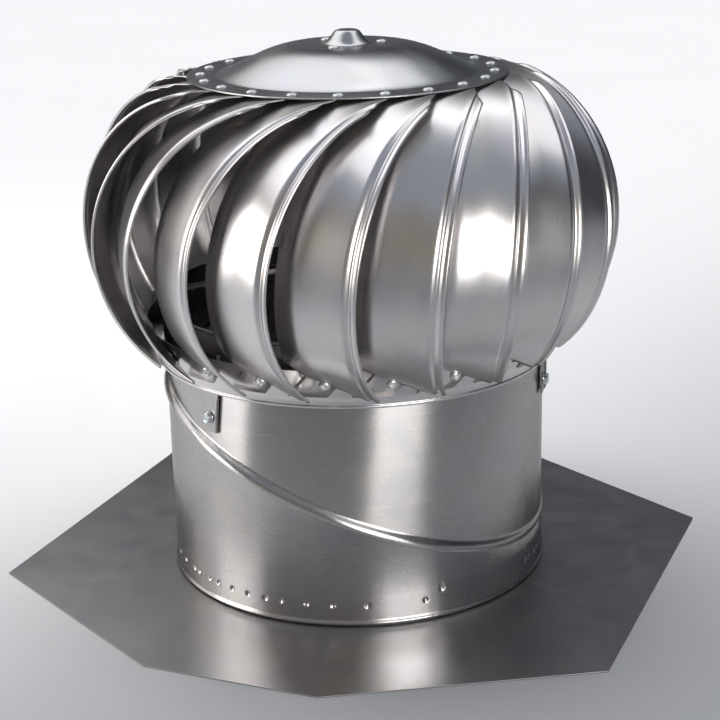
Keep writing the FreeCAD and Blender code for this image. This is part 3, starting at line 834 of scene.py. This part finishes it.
def vane_section(sizes):
    """Columns across the strip: place, lift of the outer face and of the inner face."""
    thin = sizes.sheet
    half = HEM_THICK / 2
    columns = []
    for k in range(6):
        w = half * (1 - cos(k / 5 * pi / 2))
        side = half * sin(k / 5 * pi / 2)
        columns.append((w, -half + side, -half - side))
    for w, lift in softened([
        ((2.6 * MM, 0.0), 0), ((3.3 * MM, -0.1 * MM), 0.5), ((6.4 * MM, -1.6 * MM), 1.4), ((9.6 * MM, 1.2 * MM), 1.9),
        ((29 * MM, 2.68 * MM), 0), ((40 * MM, 3.66 * MM), 0), ((51.5 * MM, 4.7 * MM), 9.0), ((sizes.width, 0.0), 0),
    ], closed=False, steps=6):
        if w < HEM:
            columns.append((w, lift, -HEM_THICK))
        elif w < HEM + 0.4 * MM:
            columns.append((w, lift, -HEM_THICK + 0.1 * MM))
        else:
            columns.append((w, lift, lift - thin))
    fold = INNER_FOLD
    edge = [c for c in columns if c[0] < sizes.width - fold]
    w, lift, low = edge[-1]
    for k, inset in enumerate((fold, fold - 0.3 * MM, fold * 0.5, 0.4 * MM, 0.0)):
        rise = lift * inset / (sizes.width - w)
        if k == 4:
            edge.append((sizes.width - inset, rise - 0.35 * thin, rise - 1.5 * thin))
        else:
            edge.append((sizes.width - inset, rise, rise - (thin if k == 0 else 1.9 * thin)))
    return edge


def vane_tab_end(sizes, w):
    """Arc length at which a column of the strip reaches the end of its tab under the cap rim."""
    low, high = 0, 2 * sizes.upper_bend
    for _ in range(40):
        u = (low + high) / 2
        turned = min(u / sizes.upper_bend, pi / 2)
        inward = sizes.upper_bend * (1 - cos(turned)) + max(u - sizes.upper_bend * pi / 2, 0)
        side = w - sizes.lean * sizes.upper_bend * sin(turned)
        x = sizes.outer_radius - inward * cos(sizes.set_angle) - side * sin(sizes.set_angle)
        y = inward * sin(sizes.set_angle) - side * cos(sizes.set_angle)
        if hypot(x, y) > VANE_TAB_END_R:
            low = u
        else:
            high = u
    return low


def vane_columns(sizes, columns):
    """Pairs of outer and inner points along every column of the flat strip, from its foot to its upper end."""
    corner, corner_end = VANE_CORNER
    rows = []
    for w, top, under in columns:
        foot = VANE_FOOT + VANE_FOOT_SLANT * max(w - CREST_AT, 0)
        start = -sizes.lower_bend * asin((sizes.mid_height - foot) / sizes.lower_bend)
        if w <= corner:
            end = VANE_HEM_END + (corner_end - VANE_HEM_END) * (w / corner) ** 1.25
        else:
            end = vane_tab_end(sizes, w)
        grow = min(1, (w - CREST_AT + CREST_SIDE) / CREST_SIDE)
        line = []
        for k in range(VANE_ROWS + 1):
            u = start + (end - start) * k / VANE_ROWS
            if w < CREST_AT - CREST_SIDE:
                line.append(((w, u, top), (w, u, under)))
                continue
            fade = vane_fade(u, VANE_FADES[0] if u > 0 else VANE_FADES[1])
            lift = top * (1 - grow + grow * fade) if top > 0 else top
            line.append(((w, u, lift), (w, u, lift - (top - under))))
        rows.append(line)
    return rows


def vane_strip(sizes):
    """Flat strip of a vane with its groove, crest and turned-in edge; its foot row is followed by the tab."""
    columns = vane_section(sizes)
    points, faces = [], []
    front, back = {}, {}
    for i, line in enumerate(vane_columns(sizes, columns)):
        for j, (outer, inner) in enumerate(line):
            front[i, j] = back[i, j] = len(points)
            points.append(outer)
            if i > 0:
                back[i, j] = len(points)
                points.append(inner)
    tab = [i for i, c in enumerate(columns) if FOOT_TAB[0] - 1e-6 <= c[0] <= FOOT_TAB[1] + 1e-6]
    tab_rows = range(1, len(FOOT_TAB_STEPS) + 1)
    for i in tab:
        for step in tab_rows:
            for side in (front, back):
                side[i, -step] = len(points)
                points.append(points[side[i, 0]])

    def quads(i, rows):
        """Outer and inner faces between a column and the next, over some rows."""
        for j in rows:
            face = [(side[i, j], side[i + 1, j], side[i + 1, j + 1], side[i, j + 1]) for side in (front, back)]
            faces.extend((face[0], tuple(reversed(face[1]))))

    def closing(*corners):
        faces.append(tuple(dict.fromkeys(corners)))

    last = len(columns) - 1
    tab_foot = -tab_rows[-1]
    for i in range(last):
        quads(i, range(VANE_ROWS))
        in_tab = i in tab and i + 1 in tab
        foot = tab_foot if in_tab else 0
        closing(front[i, foot], back[i, foot], back[i + 1, foot], front[i + 1, foot])
        closing(front[i + 1, VANE_ROWS], back[i + 1, VANE_ROWS], back[i, VANE_ROWS], front[i, VANE_ROWS])
        if in_tab:
            quads(i, range(tab_foot, 0))
    for j in range(VANE_ROWS):
        closing(front[last, j], back[last, j], back[last, j + 1], front[last, j + 1])
    for i, turn in ((tab[0], 1), (tab[-1], -1)):
        for j in range(tab_foot, 0):
            closing(*(front[i, j], front[i, j + 1], back[i, j + 1], back[i, j])[::turn])
    mesh = closed_mesh("vane_strip", points, faces)
    strip = mesh.uv_layers.new(name="strip")
    places = np.array(points)[:, :2]
    corners = np.zeros(len(mesh.loops), int)
    mesh.loops.foreach_get("vertex_index", corners)
    strip.data.foreach_set("uv", (places[corners] + (0.0, 0.3)).ravel())
    tabs = [(back[i, 0], [(front[i, -s], back[i, -s]) for s in tab_rows]) for i in tab]
    return mesh, tabs


def ring_wall(z):
    bottom, band_top, top = RING_HEIGHTS
    return RING_R + (RING_TOP_R - RING_R) * min(max(z - band_top, 0), top - band_top) / (top - band_top)


def seat_tabs(mesh, tabs, thin):
    """Lays the foot tab of a rolled vane flat on the flared wall of the ring."""
    for inner, steps in tabs:
        seat = mesh.vertices[inner].co
        heading = atan2(seat.y, seat.x)
        for part, (front_vertex, back_vertex) in zip(FOOT_TAB_STEPS, steps):
            z = seat.z + (FOOT_TAB_BOTTOM - seat.z) * part
            at = heading - radians(FOOT_TAB_SLANT * (seat.z - z) / MM)
            for vertex, lift in ((front_vertex, thin), (back_vertex, 0)):
                r = ring_wall(z) + FOOT_TAB_GAP + lift
                mesh.vertices[vertex].co = (r * cos(at), r * sin(at), z)


class VENT_OT_flashing(bpy.types.Operator):
    """Roof flashing with its upright neck"""
    bl_idname = "vent.flashing"
    bl_label = "Roof flashing"

    def execute(self, context):
        piece = node_copy("roof_flashing_sheet", "roof_flashing", finish_named("flashing sheet"), 0.15 * MM)
        put(piece, "flashing", "roof_flashing")
        return {"FINISHED"}


class VENT_OT_collars(bpy.types.Operator):
    """Two slanted duct collars joined by the rolled seam, with the row of dimples"""
    bl_idname = "vent.collars"
    bl_label = "Collars"

    def execute(self, context):
        sizes = context.scene.vent_collar
        dress("lower_collar", lower_collar_mesh(sizes), "collar sheet", "base")
        dress("upper_collar", upper_collar_mesh(sizes), "collar sheet", "neck")
        dress("throat_ring", throat_ring_mesh(sizes), "ring sheet", "neck")
        return {"FINISHED"}


class VENT_OT_clips(bpy.types.Operator):
    """Head clips with their screws and rivets"""
    bl_idname = "vent.clips"
    bl_label = "Clips and screws"

    def execute(self, context):
        sizes = context.scene.vent_collar
        tree = ring_of_copies_tree()
        screws = []
        for k in range(ARMS):
            name, heading = f"head_clip_{k + 1}", ARM_HEADING + 360 * k / ARMS
            strip = part_object(name + "_strip", clip_mesh(sizes, heading), finish_named("clip sheet"))
            put(edge_broken(strip, 0.4 * MM), "neck", name)
            seat = clip_radius(clip_gauge(sizes, heading), SCREW_HEIGHT) + CLIP_SHEET + SEAT
            screws.append(ring_of("clip_screw", screw_mesh(), tree, "zinc steel", 1, seat, SCREW_HEIGHT, heading))
        dress("clip_screws", joined("clip_screw_set", screws), "zinc steel", "neck", name="clip_screw_set")
        seat = DUCT_R + 2 * SEAT + SHEET + CLIP_SHEET
        rivets = ring_of("clip_rivet_set", rivet_mesh(3.2 * MM, 1.3 * MM), tree, "rivet", ARMS, seat,
                         CLIP_RIVET_HEIGHT, ARM_HEADING, pi / 2)
        dress("clip_rivets", rivets, "rivet", "neck", name="clip_rivet_set")
        return {"FINISHED"}


class VENT_OT_supports(bpy.types.Operator):
    """Braces, bearing tube, bearings, shaft and hub inside the head"""
    bl_idname = "vent.supports"
    bl_label = "Braces and bearings"

    def execute(self, context):
        braces = [f"{kind}_{k + 1}" for kind in ("brace_leg", "lower_brace") for k in range(ARMS)]
        for body, finish, edge, names in (
            ("neck", "brace strip", 0.3, braces),
            ("neck", "cast tube", 0.4, ("bearing_tube",)),
            ("neck", "bearing steel", 0.2, ("upper_bearing_outer_race", "lower_bearing_outer_race")),
            ("head", "bearing steel", 0.2, ("upper_bearing_inner_race", "lower_bearing_inner_race")),
            ("head", "bearing steel", 0.3, ("rotor_shaft", "spacer_collar")),
            ("head", "zinc steel", 0.4, ("shaft_nut",)),
            ("head", "cast tube", 0.4, ("rotor_hub",)),
        ):
            for name in names:
                piece = node_copy(name + "_piece", name, finish_named(finish), edge * MM)
                put(piece, body, name)
        return {"FINISHED"}


class VENT_OT_head_ring(bpy.types.Operator):
    """Hemmed ring at the foot of the vanes"""
    bl_idname = "vent.head_ring"
    bl_label = "Head ring"

    def execute(self, context):
        dress("rotor_ring", rotor_ring_mesh(), "ring sheet", "head")
        return {"FINISHED"}


class VENT_OT_vanes(bpy.types.Operator):
    """Curved vanes with hemmed edge, rain groove and turned-in inner edge"""
    bl_idname = "vent.vanes"
    bl_label = "Vanes"

    def execute(self, context):
        sizes = context.scene.vent_vanes
        strip, tabs = vane_strip(sizes)
        tree = rolled_vane_tree()
        values = {title: getattr(sizes, title.lower().replace(" ", "_")) for title in VANE_INPUTS}
        for k in range(sizes.count):
            name = f"vane_{k + 1:02d}"
            values["Heading"] = sizes.first_heading + 2 * pi * k / sizes.count
            mesh = grown(name + "_sheet", strip, tree, "vane sheet", values)
            seat_tabs(mesh, tabs, sizes.sheet)
            dress(name, mesh, "vane sheet", "head")
        return {"FINISHED"}


class VENT_OT_cap(bpy.types.Operator):
    """Pressed cap with its dome and boss"""
    bl_idname = "vent.cap"
    bl_label = "Cap"

    def execute(self, context):
        dress("turbine_cap", cap_mesh(context.scene.vent_cap), "cap sheet", "head")
        return {"FINISHED"}


class VENT_OT_rivets(bpy.types.Operator):
    """Rivets of the cap rim, the boss and the head ring"""
    bl_idname = "vent.rivets"
    bl_label = "Rivets"

    def execute(self, context):
        cap, count = context.scene.vent_cap, context.scene.vent_vanes.count
        low_head, tall_head = (rivet_mesh(cap.rivet_radius, height * MM) for height in (1.5, 2.5))
        tree = ring_of_copies_tree()
        top = CAP_UNDERSIDE + SHEET
        slope = atan2(RING_TOP_R - RING_R, RING_HEIGHTS[2] - RING_HEIGHTS[1])
        ring_seat = ring_wall(RING_RIVET_HEIGHT) + 1.6 * MM
        for name, head, *place in (
            ("cap_rivets", low_head, count, cap.rivet_circle, top, 14.7),
            ("hub_rivets", low_head, 3, HUB_RIVET_CIRCLE, top + cap.rise, 30),
            ("ring_rivets", tall_head, count, ring_seat, RING_RIVET_HEIGHT, 10.45, pi / 2 + slope),
        ):
            dress(name, ring_of(name + "_set", head, tree, "rivet", *place), "rivet", "head", name=name + "_set")
        return {"FINISHED"}


def softbox(name, heading, elevation, distance, size, level, tint):
    """Area lamp that faces the object, with the brightness of its surface as its level."""
    lamp = bpy.data.lights.new(name, "AREA")
    lamp.shape = "RECTANGLE"
    lamp.size, lamp.size_y = size
    lamp.energy = level * pi * size[0] * size[1]
    lamp.color = tint
    a, e = radians(heading), radians(elevation)
    away = Vector((cos(a) * cos(e), sin(a) * cos(e), sin(e)))
    stand = placed(name, lamp)
    stand.location = Vector((0, 0, 0.22)) + away * distance
    stand.rotation_euler = away.to_track_quat("Z", "Y").to_euler()
    stand.visible_camera = False
    return stand


def link_light(lamp, floor, state):
    """Keeps a lamp's light off the floor (EXCLUDE) or for the floor alone (INCLUDE)."""
    receivers = bpy.data.collections.new(lamp.name + " receivers")
    receivers.objects.link(floor)
    receivers.collection_objects[0].light_linking.link_state = state
    lamp.light_linking.receiver_collection = receivers


def room_world(stage):
    """Dim room: low walls warm on the left and cool on the right, paler higher up and low behind the object."""
    world = bpy.data.worlds.new("Room")
    bpy.context.scene.world = world
    world.use_nodes = True
    tree = world.node_tree
    direction = node(tree, "ShaderNodeTexCoord").outputs["Generated"]

    def toward(heading, low, high):
        way = (cos(radians(heading)), sin(radians(heading)), 0)
        dot = node(tree, "ShaderNodeVectorMath", {0: direction, 1: way}, operation="DOT_PRODUCT")
        return Number(tree, dot.outputs["Value"]).ranged(low, high)

    def lit(level, tint):
        return [level * c for c in tint]

    height = split(tree, direction)[2]
    warm, cool = lit(stage.warm_level, (1.14, 1.0, 0.84)), lit(stage.cool_level, (0.86, 0.94, 1.15))
    wall = mixed(tree, toward(48, -0.5, 0.5), warm, cool)
    band = toward(112.6, 0.5, 0.9) * height.ranged(0.10, 0.30, 1.0, 0.0)
    wall = mixed(tree, band, wall, lit(stage.back_level, (0.86, 0.93, 1.12)))
    wall = mixed(tree, height.ranged(0.48, 0.68), wall, lit(stage.high_level, (0.86, 0.95, 1.1)))
    feed(tree, tree.nodes["Background"].inputs["Color"], wall)


def pale_floor(tint):
    """Wide plain floor just under the flashing."""
    mesh = mesh_of("floor", [(-30, -30, 0), (30, -30, 0), (30, 30, 0), (-30, 30, 0)], [(0, 1, 2, 3)])
    material, tree, shader = new_material("floor paint", 0.0)
    shader["Roughness"].default_value = 0.9
    shader["Specular IOR Level"].default_value = 0.1
    tone = noise(tree, object_coordinates(tree), 3.0)
    feed(tree, shader["Base Color"], mixed(tree, tone, scaled(tint, 0.98), tint))
    mesh.materials.append(material)
    floor = placed("floor", mesh)
    floor.location.z = -0.2 * MM
    return floor


def view_camera():
    """Camera where the photograph was taken from, turned with the view."""
    camera = bpy.data.cameras.new("Camera")
    camera.lens = 88.0
    camera.sensor_width = 36.0
    camera.clip_start, camera.clip_end = 0.05, 200
    view = placed("Camera", camera)
    pitch, yaw, roll = 0.317, 0.003, -0.024
    ahead = Vector((sin(yaw) * cos(pitch), cos(yaw) * cos(pitch), -sin(pitch)))
    right = Vector((cos(yaw), -sin(yaw), 0))
    up = right.cross(ahead)
    right, up = cos(roll) * right + sin(roll) * up, -sin(roll) * right + cos(roll) * up
    place = Matrix.Translation((0, -1.3735, 0.6164)) @ Matrix((right, up, -ahead)).transposed().to_4x4()
    view.matrix_world = Matrix.Rotation(radians(VIEW_TURN), 4, "Z") @ place
    bpy.context.scene.camera = view


class VENT_OT_stage(bpy.types.Operator):
    """Plain pale floor, softboxes, dim room and the camera"""
    bl_idname = "vent.stage"
    bl_label = "Stage"

    def execute(self, context):
        stage = context.scene.vent_stage
        floor = pale_floor(tuple(stage.floor_colour))
        key, side, top = stage.key_level, stage.side_level, stage.top_level
        for name, *settings in (
            ("softbox right", -41.5, 8, 2.3, (1.15, 1.0), key, (1.0, 0.985, 0.96)),
            ("softbox left", -145, 9, 2.3, (1.15, 1.1), side, (1.0, 0.98, 0.95)),
            ("softbox far left", -172, 14, 2.3, (1.2, 1.2), side * 0.22, (1.0, 0.98, 0.95)),
            ("overhead left", 162, 55, 2.2, (2.6, 2.0), top * 0.95, (1.0, 0.99, 0.98)),
            ("overhead right", 52, 62, 2.3, (2.5, 0.85), top * 0.85, (1.0, 0.98, 0.96)),
        ):
            link_light(softbox(name, *settings), floor, "EXCLUDE")
        for name, size, place, level in (
            ("floor light near", (1.6, 0.9), (-0.5, 0.35), 1.2), ("floor light far", (5.4, 5.4), (0, 3.3), 0.90),
        ):
            ground = softbox(name, 0, 90, 1.2, size, stage.floor_level * level, (1.0, 1.0, 1.0))
            ground.data.spread = radians(90)
            ground.matrix_world = Matrix.Rotation(radians(VIEW_TURN), 4, "Z") @ Matrix.Translation((*place, 1.4))
            link_light(ground, floor, "INCLUDE")
        room_world(stage)
        view_camera()
        context.scene.view_settings.view_transform = "Standard"
        return {"FINISHED"}


OPERATORS = (
    VENT_OT_flashing, VENT_OT_collars, VENT_OT_clips, VENT_OT_supports, VENT_OT_head_ring, VENT_OT_vanes, VENT_OT_cap,
    VENT_OT_rivets, VENT_OT_stage,
)

SETTINGS = (
    ("vent_collar", VentCollarSizes),
    ("vent_vanes", VentVaneSizes),
    ("vent_cap", VentCapSizes),
    ("vent_finishes", VentFinishes),
    ("vent_stage", VentStage),
)


class VENT_PT_panel(bpy.types.Panel):
    """Lists the pieces of the vent"""
    bl_label = "Turbine roof vent"
    bl_idname = "VENT_PT_panel"
    bl_space_type = "VIEW_3D"
    bl_region_type = "UI"
    bl_category = "Vent"

    def draw(self, context):
        for title, group in SETTINGS:
            box = self.layout.box()
            for name in group.__annotations__:
                box.prop(getattr(context.scene, title), name)
        for operator in OPERATORS:
            self.layout.operator(operator.bl_idname)


def register():
    for title, group in SETTINGS:
        bpy.utils.register_class(group)
        setattr(bpy.types.Scene, title, bpy.props.PointerProperty(type=group))
    for operator in OPERATORS:
        bpy.utils.register_class(operator)
    bpy.utils.register_class(VENT_PT_panel)


def unregister():
    bpy.utils.unregister_class(VENT_PT_panel)
    for operator in reversed(OPERATORS):
        bpy.utils.unregister_class(operator)
    for title, group in reversed(SETTINGS):
        delattr(bpy.types.Scene, title)
        bpy.utils.unregister_class(group)


def main():
    register()
    bpy.ops.vent.flashing()
    bpy.ops.vent.collars()
    bpy.ops.vent.clips()
    bpy.ops.vent.supports()
    bpy.ops.vent.head_ring()
    bpy.ops.vent.vanes()
    bpy.ops.vent.cap()
    bpy.ops.vent.rivets()
    bpy.ops.vent.stage()


if __name__ == "__main__":
    main()
